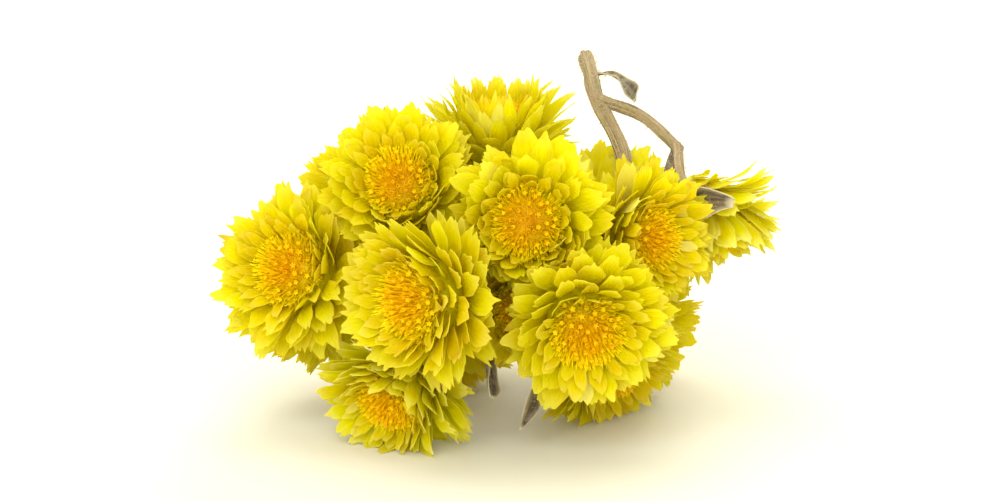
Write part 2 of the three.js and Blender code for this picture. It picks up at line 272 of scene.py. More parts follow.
# Fine streaks that run the length of a bract, leaf or stalk, no two pieces alike.
def fibreGroup():
    inputs = {"Across": 0, "Along": 0, "Seed": 0, "Streaks": 6, "Run": 1, "Low": 0.3, "High": 0.7}
    group, given, made = newGroup("dry fibres", inputs, "Value")
    x = times(group, given["Across"], given["Streaks"])
    y = times(group, given["Along"], given["Run"])
    z = times(group, given["Seed"], 37.0)  # far enough apart that no two pieces share their streaks
    place = node(group, "CombineXYZ", {0: x, 1: y, 2: z}).outputs[0]
    streaks = node(group, "TexNoise", {"Vector": place, "Scale": 1.0, "Detail": 3.0, "Roughness": 0.6})
    value = rescale(group, streaks.outputs["Fac"], given["Low"], given["High"])
    group.links.new(value, made["Value"])
    return group


# Soft patches of age over a whole piece.
def mottleGroup():
    group, given, made = newGroup("age mottle", {"Size": 1, "Low": 0.4, "High": 0.65}, "Value")
    place = node(group, "TexCoord").outputs["Object"]
    scale = mathNode(group, "DIVIDE", 1 / mm, given["Size"])
    noise = {"Vector": place, "Scale": scale, "Detail": 4.0, "Roughness": 0.55}
    patches = node(group, "TexNoise", noise).outputs["Fac"]
    value = rescale(group, patches, given["Low"], given["High"])
    group.links.new(value, made["Value"])
    return group


# The thin dry margin of a bract or leaf, widest at its tip.
def marginGroup():
    inputs = {"Across": 0, "Along": 0, "Start": 0.7, "Inner": 0.5, "Outer": 1.1, "Sides": 0.6}
    group, given, made = newGroup("dry margin", inputs, "Mask")
    side = mathNode(group, "ABSOLUTE", given["Across"])
    sides = times(group, rescale(group, side, given["Inner"], given["Outer"]), given["Along"])
    tip = rescale(group, given["Along"], given["Start"], 1.0)
    mask = mathNode(group, "MAXIMUM", times(group, sides, given["Sides"]), tip)
    group.links.new(mask, made["Mask"])
    return group


fibres = fibreGroup()
mottle = mottleGroup()
margin = marginGroup()


# What the points of a small form are marked with: how far across and along it, and a chance number.
def formMarks(tree):
    return {"Across": mark(tree, "across"), "Along": mark(tree, "along"), "Seed": mark(tree, "tone")}


def marginMask(tree, marks, start):
    inputs = {"Across": marks["Across"], "Along": marks["Along"], "Start": start}
    return placeGroup(tree, margin, inputs)


def newMaterial(name, **principled):
    material = bpy.data.materials.new(name)
    material.use_nodes = True
    tree = material.node_tree
    shader = tree.nodes["Principled BSDF"]
    for socket, value in principled.items():
        shader.inputs[socket.replace("_", " ")].default_value = value
    return material, tree, shader


def bump(tree, height, relief):
    inputs = {"Height": height, "Strength": relief["strength"], "Distance": relief["depth"] * mm}
    return node(tree, "Bump", inputs).outputs[0]


# Lets some of the light through a thin piece.
def addGlow(tree, shader, colour, normal, share):
    through = node(tree, "BsdfTranslucent", {"Color": colour, "Normal": normal})
    mixed = node(tree, "MixShader", {0: share, 1: shader.outputs[0], 2: through.outputs[0]})
    tree.links.new(mixed.outputs[0], tree.nodes["Material Output"].inputs["Surface"])


bractLooks = {
    "stops": [  # from root to tip
        (0.0, (0.87, 0.80, 0.005)),
        (0.2, (0.90, 0.86, 0.002)),
        (0.45, (0.91, 0.885, 0.001)),
        (0.8, (0.91, 0.885, 0.001)),
        (1.0, (0.92, 0.89, 0.002)),
    ],
    "golden": (0.93, 0.72, 0.0005),
    "fibres": {"Streaks": 7.0, "Run": 1.2},
    "vein": (0.90, 0.84, 0.7),
    "veinShare": 0.5,
    "patches": {"Size": 2.2, "Low": 0.42, "High": 0.7},
    "age": (0.90, 0.76, 0.55),
    "ageShare": 0.45,
    "margin": (0.95, 0.92, 0.32),
    "marginShare": 0.8,
    "marginStart": 0.72,
    "brown": (0.66, 0.40, 0.01),  # the scorched tips of a few
    "brownTones": (0.965, 0.99),
    "brownStart": 0.8,
    "brownShare": 0.5,
    "bleached": (0.97, 0.94, 0.32),  # a few more have lost their yellow
    "bleachedTones": (0.0, 0.018),
    "bleachedShare": 0.7,
    "roughness": (0.38, 0.58),
    "relief": {"strength": 0.5, "depth": 0.05},
    "glow": 0.62,
}


def bractMaterial():
    looks = bractLooks
    material, tree, shader = newMaterial("papery bract", Specular_IOR_Level=0.1)
    marks = formMarks(tree)
    upBract, tone = marks["Along"], marks["Seed"]
    streaks = placeGroup(tree, fibres, {**marks, **looks["fibres"]})
    patches = placeGroup(tree, mottle, looks["patches"])
    rim = marginMask(tree, marks, looks["marginStart"])
    colour = colourRamp(tree, upBract, looks["stops"])
    colour = mixColour(tree, mark(tree, "gold"), colour, looks["golden"])
    colour = stained(tree, times(tree, streaks, looks["veinShare"]), colour, looks["vein"])
    colour = stained(tree, times(tree, patches, looks["ageShare"]), colour, looks["age"])
    pale = times(tree, rim, times(tree, mark(tree, "pallor"), looks["marginShare"]))
    colour = mixColour(tree, pale, colour, looks["margin"])
    scorched = rescale(tree, tone, *looks["brownTones"])
    scorched = times(tree, scorched, rescale(tree, upBract, looks["brownStart"], 1.0))
    colour = mixColour(tree, times(tree, scorched, looks["brownShare"]), colour, looks["brown"])
    bleached = rescale(tree, tone, *looks["bleachedTones"], looks["bleachedShare"], 0.0)
    colour = mixColour(tree, bleached, colour, looks["bleached"])
    tree.links.new(colour, shader.inputs["Base Color"])
    tree.links.new(rescale(tree, streaks, 0, 1, *looks["roughness"]), shader.inputs["Roughness"])
    normal = bump(tree, streaks, looks["relief"])
    tree.links.new(normal, shader.inputs["Normal"])
    addGlow(tree, shader, colour, normal, looks["glow"])
    return material


floretLooks = {
    "stops": [  # from the tube's foot to its lobes
        (0.0, (0.86, 0.72, 0.002)),
        (0.55, (0.92, 0.78, 0.001)),
        (0.85, (0.93, 0.72, 0.001)),
        (1.0, (0.94, 0.76, 0.001)),
    ],
    "heart": (0.92, 0.51, 0.001),
    "heartShare": (0.55, 1.0),
    "patches": {"Size": 0.35, "Low": 0.35, "High": 0.7},
    "age": (0.86, 0.74, 0.5),
    "ageShare": 0.35,
    "relief": {"strength": 0.4, "depth": 0.03},
    "glow": 0.22,
}


def floretMaterial():
    looks = floretLooks
    material, tree, shader = newMaterial("orange floret", Roughness=0.6, Specular_IOR_Level=0.1)
    colour = colourRamp(tree, mark(tree, "along"), looks["stops"])
    deep = rescale(tree, mark(tree, "tone"), 0.0, 1.0, *looks["heartShare"])
    colour = mixColour(tree, times(tree, mark(tree, "heart"), deep), colour, looks["heart"])
    patches = placeGroup(tree, mottle, looks["patches"])
    colour = stained(tree, times(tree, patches, looks["ageShare"]), colour, looks["age"])
    tree.links.new(colour, shader.inputs["Base Color"])
    normal = bump(tree, patches, looks["relief"])
    tree.links.new(normal, shader.inputs["Normal"])
    addGlow(tree, shader, colour, normal, looks["glow"])
    return material


bristleLooks = {
    "foot": (0.93, 0.72, 0.001),
    "tip": (0.97, 0.88, 0.002),
    "tipStart": 0.2,
    "heartShare": 0.85,
}


def bristleMaterial():
    looks = bristleLooks
    material, tree, shader = newMaterial("pappus bristle", Roughness=0.55, Specular_IOR_Level=0.1)
    upBristle = rescale(tree, mark(tree, "along"), looks["tipStart"], 1.0)
    colour = mixColour(tree, upBristle, looks["foot"], looks["tip"])
    deep = times(tree, mark(tree, "heart"), looks["heartShare"])
    colour = mixColour(tree, deep, colour, floretLooks["heart"])
    tree.links.new(colour, shader.inputs["Base Color"])
    return material


stemLooks = {
    "light": (0.50, 0.38, 0.16),
    "dark": (0.11, 0.07, 0.028),
    "fibres": {"Streaks": 9.0, "Run": 0.7},
    "pink": (0.40, 0.25, 0.16),
    "pinkShare": 0.6,
    "patches": {"Size": 1.6, "Low": 0.4, "High": 0.62},
    "green": (0.34, 0.30, 0.08),  # where a stalk widens below its head
    "greenShare": 0.75,
    "wool": (0.58, 0.48, 0.30),
    "woolShare": 0.3,
    "felt": {"Size": 0.12, "Low": 0.3, "High": 0.7},
    "pith": (0.62, 0.50, 0.26),
    "relief": {"strength": 0.7, "depth": 0.07},
}


def stemMaterial():
    looks = stemLooks
    finish = {"Roughness": 0.82, "Specular_IOR_Level": 0.2, "Sheen_Weight": 0.1}
    material, tree, shader = newMaterial("felted stem", **finish)
    streaks = placeGroup(tree, fibres, {**formMarks(tree), **looks["fibres"]})
    patches = placeGroup(tree, mottle, looks["patches"])
    felt = placeGroup(tree, mottle, looks["felt"])
    colour = mixColour(tree, streaks, looks["light"], looks["dark"])
    colour = mixColour(tree, times(tree, patches, looks["pinkShare"]), colour, looks["pink"])
    neck = times(tree, mark(tree, "neck"), looks["greenShare"])
    colour = mixColour(tree, neck, colour, looks["green"])
    colour = mixColour(tree, times(tree, felt, looks["woolShare"]), colour, looks["wool"])
    colour = mixColour(tree, mark(tree, "pith"), colour, looks["pith"])
    tree.links.new(colour, shader.inputs["Base Color"])
    height = mathNode(tree, "SUBTRACT", felt, streaks)
    tree.links.new(bump(tree, height, looks["relief"]), shader.inputs["Normal"])
    return material


leafLooks = {
    "light": (0.20, 0.145, 0.07),
    "dark": (0.035, 0.024, 0.012),
    "fibres": {"Streaks": 4.0, "Run": 2.0},
    "felt": (0.66, 0.58, 0.40),
    "feltShare": 0.2,
    "patches": {"Size": 0.5, "Low": 0.45, "High": 0.68},
    "rimShare": 0.85,
    "rimStart": 0.8,
    "tipStart": 0.95,
    "relief": {"strength": 0.7, "depth": 0.08},
}


def leafMaterial():
    looks = leafLooks
    material, tree, shader = newMaterial("dry leaf", Roughness=0.8, Sheen_Weight=0.1)
    marks = formMarks(tree)
    streaks = placeGroup(tree, fibres, {**marks, **looks["fibres"]})
    patches = placeGroup(tree, mottle, looks["patches"])
    tip = marginMask(tree, marks, looks["tipStart"])
    colour = mixColour(tree, streaks, looks["light"], looks["dark"])
    colour = mixColour(tree, times(tree, patches, looks["feltShare"]), colour, looks["felt"])
    edge = rescale(tree, mathNode(tree, "ABSOLUTE", marks["Across"]), looks["rimStart"], 1.0)
    rim = times(tree, mathNode(tree, "MAXIMUM", edge, tip), looks["rimShare"])
    colour = mixColour(tree, rim, colour, looks["felt"])
    tree.links.new(colour, shader.inputs["Base Color"])
    tree.links.new(bump(tree, streaks, looks["relief"]), shader.inputs["Normal"])
    return material


woolLooks = {"root": (0.52, 0.42, 0.27), "end": (0.80, 0.74, 0.60), "glow": 0.3}


def woolMaterial():
    material, tree, shader = newMaterial("white wool", Roughness=0.7, Sheen_Weight=0.4)
    upHair = rescale(tree, mark(tree, "along"), 0.0, 1.0)
    colour = mixColour(tree, upHair, woolLooks["root"], woolLooks["end"])
    tree.links.new(colour, shader.inputs["Base Color"])
    addGlow(tree, shader, colour, node(tree, "NewGeometry").outputs["Normal"], woolLooks["glow"])
    return material


papery = bractMaterial()
orange = floretMaterial()
bristly = bristleMaterial()
felted = stemMaterial()
withered = leafMaterial()
woolly = woolMaterial()
print("materials made")


# Heads

# The florets' flat foot on a full-grown head, and how closely the faces that make it up must agree.
floretFoot = {"radius": 1.65, "height": 0.3, "sameWay": 0.9995}


def areaOf(faces):
    return sum(face.area for face in faces)


# Where a head sits, which way it faces and how large it is, from the flat underside of its florets.
def readHead(number):
    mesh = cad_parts[f"head_{number}_florets"].data
    faces = list(mesh.polygons)
    flat = []
    for face in faces:
        facing = [other for other in faces if other.normal.dot(face.normal) > floretFoot["sameWay"]]
        flat = max(flat, facing, key=areaOf)
    centre = sum((face.center * face.area for face in flat), Vector()) / areaOf(flat)
    axis = -sum((face.normal * face.area for face in flat), Vector()).normalized()
    radius = max((mesh.vertices[i].co - centre).length for face in flat for i in face.vertices)
    size = radius / mm / floretFoot["radius"]
    rng = np.random.default_rng(int(number) * seeds["heads"])
    upright = np.array(Vector((0, 0, 1)).rotation_difference(axis).to_matrix())
    return {
        "number": number,
        "seat": np.array(centre / mm - axis * floretFoot["height"] * size),
        "axis": np.array(axis),
        "size": size,
        "turn": upright @ turnAbout(rng.uniform(0, 2 * math.pi)),
        "rng": rng,
    }


# Points of a head's own frame, put where they lie on the flower top.
def placed(head, points):
    return head["seat"] + np.asarray(points) * head["size"] @ head["turn"].T


numbers = sorted(name[5:7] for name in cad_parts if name.endswith("_florets"))
heads = [readHead(number) for number in numbers]
for head in heads:
    head["middle"] = head["seat"] - head["axis"] * head["size"]


# How far each head has opened, from 0, pointing up its axis, to 1, spread flat, or more, bent back;
# how pale its margins are; how golden it is; and how long and slender its bracts are.
headLooks = {
    "01": (1.0, 0.3, 0.2, 0.0), "02": (1.2, 0.25, 0.1, 0.0), "03": (0.95, 0.4, 0.3, 0.1),
    "04": (1.1, 0.5, 0.3, 0.0), "05": (0.9, 0.4, 0.4, 0.1), "06": (1.05, 0.4, 0.2, 0.0),
    "07": (0.9, 1.0, 0.0, 0.3), "08": (0.8, 0.5, 0.3, 0.1), "09": (0.15, 0.6, 0.1, 1.0),
    "10": (1.1, 1.4, 0.05, 0.5), "11": (0.75, 0.4, 0.3, 0.2), "12": (0.65, 0.5, 0.3, 0.2),
    "13": (0.5, 0.5, 0.3, 0.4), "14": (0.7, 0.4, 0.2, 0.1), "15": (0.75, 0.4, 0.3, 0.2),
    "16": (0.7, 0.5, 0.4, 0.1), "17": (0.15, 0.4, 0.5, 0.5), "18": (0.3, 0.5, 0.3, 0.4),
}

bracts = {
    # what changes from the lowest full row, at place 0, to the innermost, at 4
    "places": [0, 1, 2, 3, 4],
    "roots": [(1.3, -2.575), (1.725, -1.875), (2.0, -1.125), (2.075, -0.375), (1.72, 0.05)],
    "lengths": [3.2, 3.25, 3.0, 2.6, 1.85],
    "rootLeans": [70, 60, 46, 30, 12],
    "tipLeans": [110, 88, 66, 47, 30],
    "openingRanges": [18, 30, 46, 60, 64],
    "rootFollowsTip": 0.45,
    "usualOpening": 0.8,
    "neckLean": 16,  # the small scales at the neck, at places below 0, lie closer to it
    "rows": [
        {"place": -1.15, "count": 11, "length": 0.3, "halfWidth": 0.5, "grid": (6, 5)},
        {"place": -0.5, "count": 13, "length": 0.45, "halfWidth": 0.6, "grid": (6, 5)},
        {"place": 0, "count": 13, "length": 0.97, "halfWidth": 0.76, "grid": (8, 9)},
        {"place": 0.6, "count": 13, "length": 1, "halfWidth": 0.75, "grid": (8, 9)},
        {"place": 1.2, "count": 13, "length": 1, "halfWidth": 0.73, "grid": (8, 9)},
        {"place": 1.8, "count": 13, "length": 1, "halfWidth": 0.7, "grid": (8, 9)},
        {"place": 2.4, "count": 13, "length": 1, "halfWidth": 0.66, "grid": (8, 9)},
        {"place": 3, "count": 13, "length": 1, "halfWidth": 0.58, "grid": (8, 7)},
        {"place": 3.5, "count": 15, "length": 1, "halfWidth": 0.45, "grid": (7, 5), "gold": 0.15},
        {"place": 4, "count": 17, "length": 1, "halfWidth": 0.32, "grid": (7, 5), "gold": 0.3},
    ],
    "rowTurn": 0.382,  # each row stands this share of a bract round from the one below
    # one bract
    "widthAt": [(0, 0.5), (0.3, 0.74), (0.7, 1.0), (1.0, 0.8)],
    "slenderWidthAt": [(0, 0.5), (0.3, 0.7), (0.6, 0.72), (1.0, 0.25)],
    "slenderLength": 0.2,
    "tipRound": 0.2,
    "tipPower": 2.6,
    "ragged": 0.06,
    "longestTooth": 1.06,  # in lengths of the bract
    "cupping": 0.15,
    "cupTurn": 0.8,
    "ripple": 0.06,
    "ripples": 9,
    "rippleSlant": 2,
    "thickness": 0.05,
    "tipThinning": 0.5,
    "neckAlong": 0.45,
    "scatter": {
        "lean": 6.5,
        "turn": 0.2,  # in steps from one bract to the next
        "length": 0.14,
        "width": 0.14,
        "curl": 0.1,
        "sway": 7,
        "twist": 18,
        "slender": (0.6, 1),
        "pallor": (0.4, 1),
    },
}

# How bracts make room for those of their own head, for the neighbours, the stem and the floor.
crowd = {
    "leanStep": 5,  # from one lean that is tried to the next
    "leanBetween": 12,  # from one full row to the next
    "slack": 4,  # how far a bract may pass the lean of the one beneath it
    "beside": 0.42,  # in radians, how near beneath counts
    "leastBetween": 0.8,  # the least lean rises this share of leanBetween from row to row outward
    "least": 8,
    "most": 128,
    "range": 12,  # neighbours farther off than this are passed over
    "overlap": 0.22,  # how far bracts may pass the plane between two heads
    "stem": 0.0808,
    "floor": 0.5,  # how far tips may reach below the floor, before they are pressed flat on it
    "shortenings": [1, 0.88, 0.76, 0.64, 0.52, 0.4],
    "probes": [(0.55, 0), (0.8, 0), (1.0, 0), (0.75, -1), (0.75, 1)],  # along and across a bract
}
floorSoftness = {"bract": 0.35, "limb": 0.1, "leaf": 0.12}  # the height where pressing begins


def atPlace(place, name):
    return np.interp(place, bracts["places"], bracts[name])


def leaning(degrees):
    return np.array([math.sin(math.radians(degrees)), math.cos(math.radians(degrees))])


# Root, bend and tip of a bract's midline: distance from the axis, and height.
def bractMidline(place, lean, length):
    roots = np.array(bracts["roots"])
    root = np.array([np.interp(place, bracts["places"], roots[:, i]) for i in range(2)])
    root += (roots[1] - roots[0]) * min(place, 0)
    rootLean = atPlace(place, "rootLeans")
    rootLean += (lean - atPlace(place, "tipLeans")) * bracts["rootFollowsTip"]
    bend = root + leaning(rootLean) * length / 2
    return root, bend, bend + leaning(lean) * length / 2


# Points of that midline with its curl, and which way its upper face looks there.
def curledMidline(form, shares):
    root, bend, tip = bractMidline(form["place"], form["lean"], form["length"])
    tangent = unit((1 - shares[:, None]) * (bend - root) + shares[:, None] * (tip - bend))
    inward = np.stack([-tangent[:, 1], tangent[:, 0]], 1)
    curl = form["curl"] * form["length"] * shares**3
    return bezier((root, bend, tip), shares) + inward * curl[:, None], inward


# Planes that a head's bracts stay behind: the floor, the model's box, and one before each neighbour.
def limitsOf(head):
    normals, reaches = [np.array([0, 0, -1.0])], [crowd["floor"]]
    for axis in np.eye(3):
        normals.append(axis)
        reaches.append(np.array(cadBox[1]) @ axis / mm)
        if axis[2] == 0:
            normals.append(-axis)
            reaches.append(-np.array(cadBox[0]) @ axis / mm)
    for other in heads:
        between = other["middle"] - head["middle"]
        distance = np.linalg.norm(between)
        if other is head or distance > crowd["range"]:
            continue
        share = distance * head["size"] / (head["size"] + other["size"]) + crowd["overlap"]
        normals.append(between / distance)
        reaches.append(head["middle"] @ normals[-1] + share)
    return np.array(normals), np.array(reaches)


stemSurface = BVHTree.FromObject(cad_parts["stem"], bpy.context.evaluated_depsgraph_get())


def isClear(head, form):
    shares, sides = np.transpose(crowd["probes"])
    midline, inward = curledMidline(form, shares)
    outward, sideways = outwardAt(form["turn"]), roundAt(form["turn"])
    points = midline[:, :1] * outward + midline[:, 1:] * [0, 0, 1]
    points = placed(head, points + (sides * form["halfWidth"])[:, None] * sideways)
    normals, reaches = head["limits"]
    if (points @ normals.T > reaches).any():
        return False
    for point in points:
        found = stemSurface.find_nearest(Vector(point * mm), crowd["stem"] * mm)
        if found[0] is not None:
            return False
    return True


# A bract bends, as little as it can, until it is clear of all these, and is cut shorter if it must be.
def nestedForm(head, form, least, most):
    start = min(max(form["lean"], least), most)
    away = range(0, crowd["most"], crowd["leanStep"])
    leans = [lean for step in away for lean in {start - step, start + step} if least <= lean <= most]
    for shorter in crowd["shortenings"]:
        for lean in sorted(leans, key=lambda tried: abs(tried - start)):
            tried = {**form, "lean": lean, "length": form["length"] * shorter}
            if isClear(head, tried):
                return tried
    return {**form, "lean": least, "length": form["length"] * crowd["shortenings"][-1]}


def bractForms(head):
    rng, scatter = head["rng"], bracts["scatter"]
    opening, pallor, golden, slender = headLooks[head["number"]]
    rows, placeBelow = [], 0
    for rowIndex, look in enumerate(bracts["rows"]):
        row = []
        place = look["place"]
        opened = (opening - bracts["usualOpening"]) * atPlace(place, "openingRanges")
        usual = atPlace(place, "tipLeans") + opened + min(place, 0) * bracts["neckLean"]
        length = atPlace(place, "lengths") * look["length"]
        length *= 1 + bracts["slenderLength"] * slender
        gap = crowd["leanBetween"] * (place - placeBelow) if rows else 0
        placeBelow = place
        rowsWithin = bracts["places"][-1] - place
        least = crowd["least"] + rowsWithin * crowd["leanBetween"] * crowd["leastBetween"]
        for i in range(look["count"]):
            turn = i + rowIndex * bracts["rowTurn"] + rng.uniform(-1, 1) * scatter["turn"]
            turn = 2 * math.pi * turn / look["count"]
            form = {
                "place": place,
                "turn": turn,
                "lean": usual + rng.normal() * scatter["lean"],
                "length": length * (1 + rng.uniform(-1, 1) * scatter["length"]),
                "halfWidth": look["halfWidth"] * (1 + rng.uniform(-1, 1) * scatter["width"]),
                "sway": math.radians(rng.uniform(-1, 1) * scatter["sway"]),
                "twist": math.radians(rng.uniform(-1, 1) * scatter["twist"]),
                "curl": rng.normal() * scatter["curl"],
                "slender": slender * rng.uniform(*scatter["slender"]),
                "tone": rng.uniform(),
                "gold": golden * rng.uniform(0, 1) + look.get("gold", 0),
                "pallor": pallor * rng.uniform(*scatter["pallor"]),
                "phase": rng.uniform(0, 2 * math.pi),
                "ragged": rng.normal(size=look["grid"][1]) * bracts["ragged"],
                "grid": look["grid"],
            }
            most = crowd["most"]
            for other in rows[-1] if rows else []:
                if turnGap(other["turn"], turn) < crowd["beside"]:
                    most = min(most, other["lean"] - gap + crowd["slack"])
            row.append(nestedForm(head, form, least, max(most, least)))
        rows.append(row)
    return [form for row in rows for form in row]


def turnGap(one, other):
    return abs((one - other + math.pi) % (2 * math.pi) - math.pi)


# The upper and lower face of one bract, as grids of points in its head's frame.
def bractGrid(form):
    shape = bracts
    stations, columns = form["grid"]
    up = np.sin(np.linspace(0, 1, stations) * math.pi / 2)[:, None]
    across = np.linspace(-1, 1, columns)[None, :]
    reach = 1 - shape["tipRound"] * np.abs(across) ** shape["tipPower"] + form["ragged"][None, :]
    share = np.clip(up * reach, 0, shape["longestTooth"])
    flat = share.ravel()
    side = np.broadcast_to(across, share.shape).ravel()
    midline, inward = curledMidline(form, flat)
    full = np.interp(flat, *np.transpose(shape["widthAt"]))
    slim = np.interp(flat, *np.transpose(shape["slenderWidthAt"]))
    widths = (full + (slim - full) * form["slender"]) * form["halfWidth"]
    waves = np.sin(flat * shape["ripples"] + form["phase"] + side * shape["rippleSlant"])
    ripple = shape["ripple"] * waves * np.abs(side) ** 1.5 * flat
    lift = shape["cupping"] * widths * side**2 * np.sin(flat * math.pi * shape["cupTurn"]) + ripple
    twist = form["twist"] * flat
    sideways = side * widths * np.cos(twist) + form["sway"] * form["length"] * flat**2
    lift = lift + side * widths * np.sin(twist)
    thickness = shape["thickness"] * (1 - shape["tipThinning"] * flat)
    grids = []
    for face in (0.5, -0.5):
        place = midline + inward * (lift + thickness * face)[:, None]
        local = np.stack([place[:, 0], sideways, place[:, 1]], 1)
        grids.append(local @ turnAbout(form["turn"]).T)
    return np.concatenate(grids), np.tile(flat, 2), np.tile(side, 2)


# Nothing sinks into the floor: what comes close to it is pressed out flat.
def pressed(points, soft=floorSoftness["bract"]):
    height = points[:, 2]
    low = height < soft
    points[low, 2] = soft * np.exp((height[low] - soft) / soft)
    return points


def addBracts(batch, head):
    for form in bractForms(head):
        grid, upBract, side = bractGrid(form)
        marks = {name: form[name] for name in ("tone", "gold", "pallor")}
        marks["along"] = upBract * (1 if form["place"] >= 0 else bracts["neckAlong"])
        batch.add(pressed(placed(head, grid)), shellFaces(*form["grid"]), across=side, **marks)


# The small woody receptacle that the bracts grow from, run down to meet the stalk.
receptacle = {
    "rings": [  # radius and height
        (0.55, -3.35), (0.8, -3.1), (1.0, -2.9), (1.5, -2.25), (1.85, -1.5),
        (2.0, -0.75), (1.85, -0.15), (1.5, 0.12), (0.4, 0.2),
    ],
    "sides": 26,
    "along": (0.05, 0.3),
}


def addCore(batch, head):
    rings, sides = receptacle["rings"], receptacle["sides"]
    points = pressed(placed(head, lathed(rings, sides)))
    upCore = np.repeat(np.linspace(*receptacle["along"], len(rings)), sides)
    marks = {"along": upCore, "across": 0.0, "tone": 0.5, "gold": 0.0, "pallor": 0.0}
    batch.add(points, tubeFaces(len(rings), sides), **marks)


def addCup(head):
    batch = Batch()
    addCore(batch, head)
    addBracts(batch, head)
    piece = batch.piece(f"bracts_{head['number']}", [papery])
    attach(piece, "root")
    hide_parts(f"head_{head['number']}_bracts")


for head in heads:
    head["limits"] = limitsOf(head)
    addCup(head)
print("bracts made")


# Florets

florets = {
    "count": 66,
    "fieldRadius": 1.42,
    "fieldRise": 0.12,
    "height": 1.35,
    "heightScatter": 0.07,
    "rimDrop": 0.2,
    "tilt": 42,
    "tiltScatter": 0.06,  # in radians, as is the next
    "turnScatter": 0.1,
    "openRange": (0.5, 1),  # how far a floret that has opened is open, and one still in bud
    "budRange": (0, 0.4),
    "sides": 10,
    "rings": [(0.06, 0.0), (0.065, 0.5), (0.095, 0.82), (0.13, 0.97)],
    "lobeReach": 0.15,
    "lobeRise": 0.10,
    "lobeDrop": 0.02,
    "budReach": 0.05,
    "notchReach": 0.11,
    "notchDrop": 0.05,
    "reachRange": (0.9, 1.1),
    "throat": (0.05, 0.86),
    "throatAlong": 0.75,
    "heartPower": 1.6,
    "bed": [(1.5, 0.05), (1.45, 0.3), (1.15, 0.5), (0.7, 0.62), (0.25, 0.66)],
    "bedSides": 20,
}
bristles = {
    "perFloret": 14,
    "foot": 0.014,
    "top": 0.02,
    "topAt": 0.93,
    "ring": 0.08,
    "splay": 0.24,
    "turnScatter": 0.3,  # in steps from one bristle to the next
    "lengthRange": (0.85, 1.1),
    "height": 0.88,  # in heights of the floret, at the middle of the disc
    "heightAtRim": 0.2,  # how much more at its rim
}
goldenTurn = math.pi * (3 - math.sqrt(5))


def leaningFrame(turn, lean):
    axis = outwardAt(turn) * math.sin(lean) + np.array([0, 0, math.cos(lean)])
    return np.stack([np.cross(roundAt(turn), axis), roundAt(turn), axis])


# How deep in colour, from 1 at the middle of the disc to 0 at its rim.
def heartAt(share):
    return 1 - share ** florets["heartPower"]


def ringAt(turns, radius, height):
    return np.stack([radius * np.cos(turns), radius * np.sin(turns), height + 0 * turns], 1)


# One five-lobed tube, standing on its foot: its rings, then its lobes and notches, then its throat.
def floretTube(rng, share, height):
    shape = florets
    turns = turnsOf(shape["sides"])
    isLobe = np.arange(shape["sides"]) % 2 == 0
    isOpen = rng.uniform(*shape["openRange" if rng.uniform() < share else "budRange"])
    rings = [ringAt(turns, r, z * height) for r, z in shape["rings"]]
    reach = np.where(isLobe, shape["lobeReach"] * isOpen + shape["budReach"], shape["notchReach"])
    rise = np.where(isLobe, shape["lobeRise"] * (1 - isOpen) - shape["lobeDrop"], -shape["notchDrop"])
    rings.append(ringAt(turns, reach * rng.uniform(*shape["reachRange"]), height + rise))
    inner, depth = shape["throat"]
    rings.append(ringAt(turns, inner, depth * height))
    upTube = [*[z for r, z in shape["rings"]], 1.0, shape["throatAlong"]]
    return np.concatenate(rings) @ turnAbout(rng.uniform(0, 6)).T, np.repeat(upTube, len(turns))


# Florets open from the rim of the disc inward, set round it by the golden angle.
def addFlorets(batch, head):
    rng = head["rng"]
    shape = florets
    faces = tubeFaces(len(shape["rings"]) + 2, shape["sides"])
    for k in range(shape["count"]):
        share = math.sqrt((k + 0.5) / shape["count"])
        turn = k * goldenTurn + rng.uniform(-shape["turnScatter"], shape["turnScatter"])
        foot = shape["fieldRadius"] * share * outwardAt(turn)
        foot[2] = shape["fieldRise"] * (1 - share)
        lean = math.radians(shape["tilt"]) * share + rng.normal() * shape["tiltScatter"]
        frameOf = leaningFrame(turn, lean)
        height = shape["height"] - shape["rimDrop"] * share**2
        height *= 1 + rng.normal() * shape["heightScatter"]
        tube, upTube = floretTube(rng, share, height)
        points = pressed(placed(head, foot + tube @ frameOf))
        batch.add(points, faces, 0, along=upTube, tone=rng.uniform(), heart=heartAt(share))
        height *= bristles["height"] + bristles["heightAtRim"] * share
        addBristles(batch, head, foot, frameOf, height, heartAt(share))


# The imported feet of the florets, a low dome that shows between the bristles.
def addBed(batch, head):
    rings, sides = florets["bed"], florets["bedSides"]
    points = pressed(placed(head, lathed(rings, sides)))
    heart = np.repeat([heartAt(r / rings[0][0]) for r, z in rings], sides)
    batch.add(points, tubeFaces(len(rings), sides), along=0.5, tone=0.5, heart=heart)


# Three-sided bristles in a ring round a floret, each ending in a point.
def addBristles(batch, head, foot, frameOf, height, heart):
    rng = head["rng"]
    shape = bristles
    faces = [[2, 1, 0], *tubeFaces(2, 3)[2:], [3, 4, 6], [4, 5, 6], [5, 3, 6]]
    along = [0, 0, 0, 0.9, 0.9, 0.9, 1]
    for k in range(shape["perFloret"]):
        turn = 2 * math.pi * (k + rng.uniform(-shape["turnScatter"], shape["turnScatter"]))
        outward = outwardAt(turn / shape["perFloret"])
        length = height * rng.uniform(*shape["lengthRange"])
        points = []
        for share, radius in ((0, shape["foot"]), (shape["topAt"], shape["top"])):
            centre = outward * (shape["ring"] + shape["splay"] * share**2) + [0, 0, length * share]
            points += [centre + radius * outwardAt(corner) for corner in turnsOf(3)]
        points.append(outward * (shape["ring"] + shape["splay"]) + [0, 0, length])
        points = pressed(placed(head, foot + np.array(points) @ frameOf))
        batch.add(points, faces, 1, along=along, tone=rng.uniform(), heart=heart)


def addDisc(head):
    batch = Batch()
    addBed(batch, head)
    addFlorets(batch, head)
    piece = batch.piece(f"florets_{head['number']}", [orange, bristly], sharpAngle=70)
    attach(piece, "root")
    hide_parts(f"head_{head['number']}_florets")


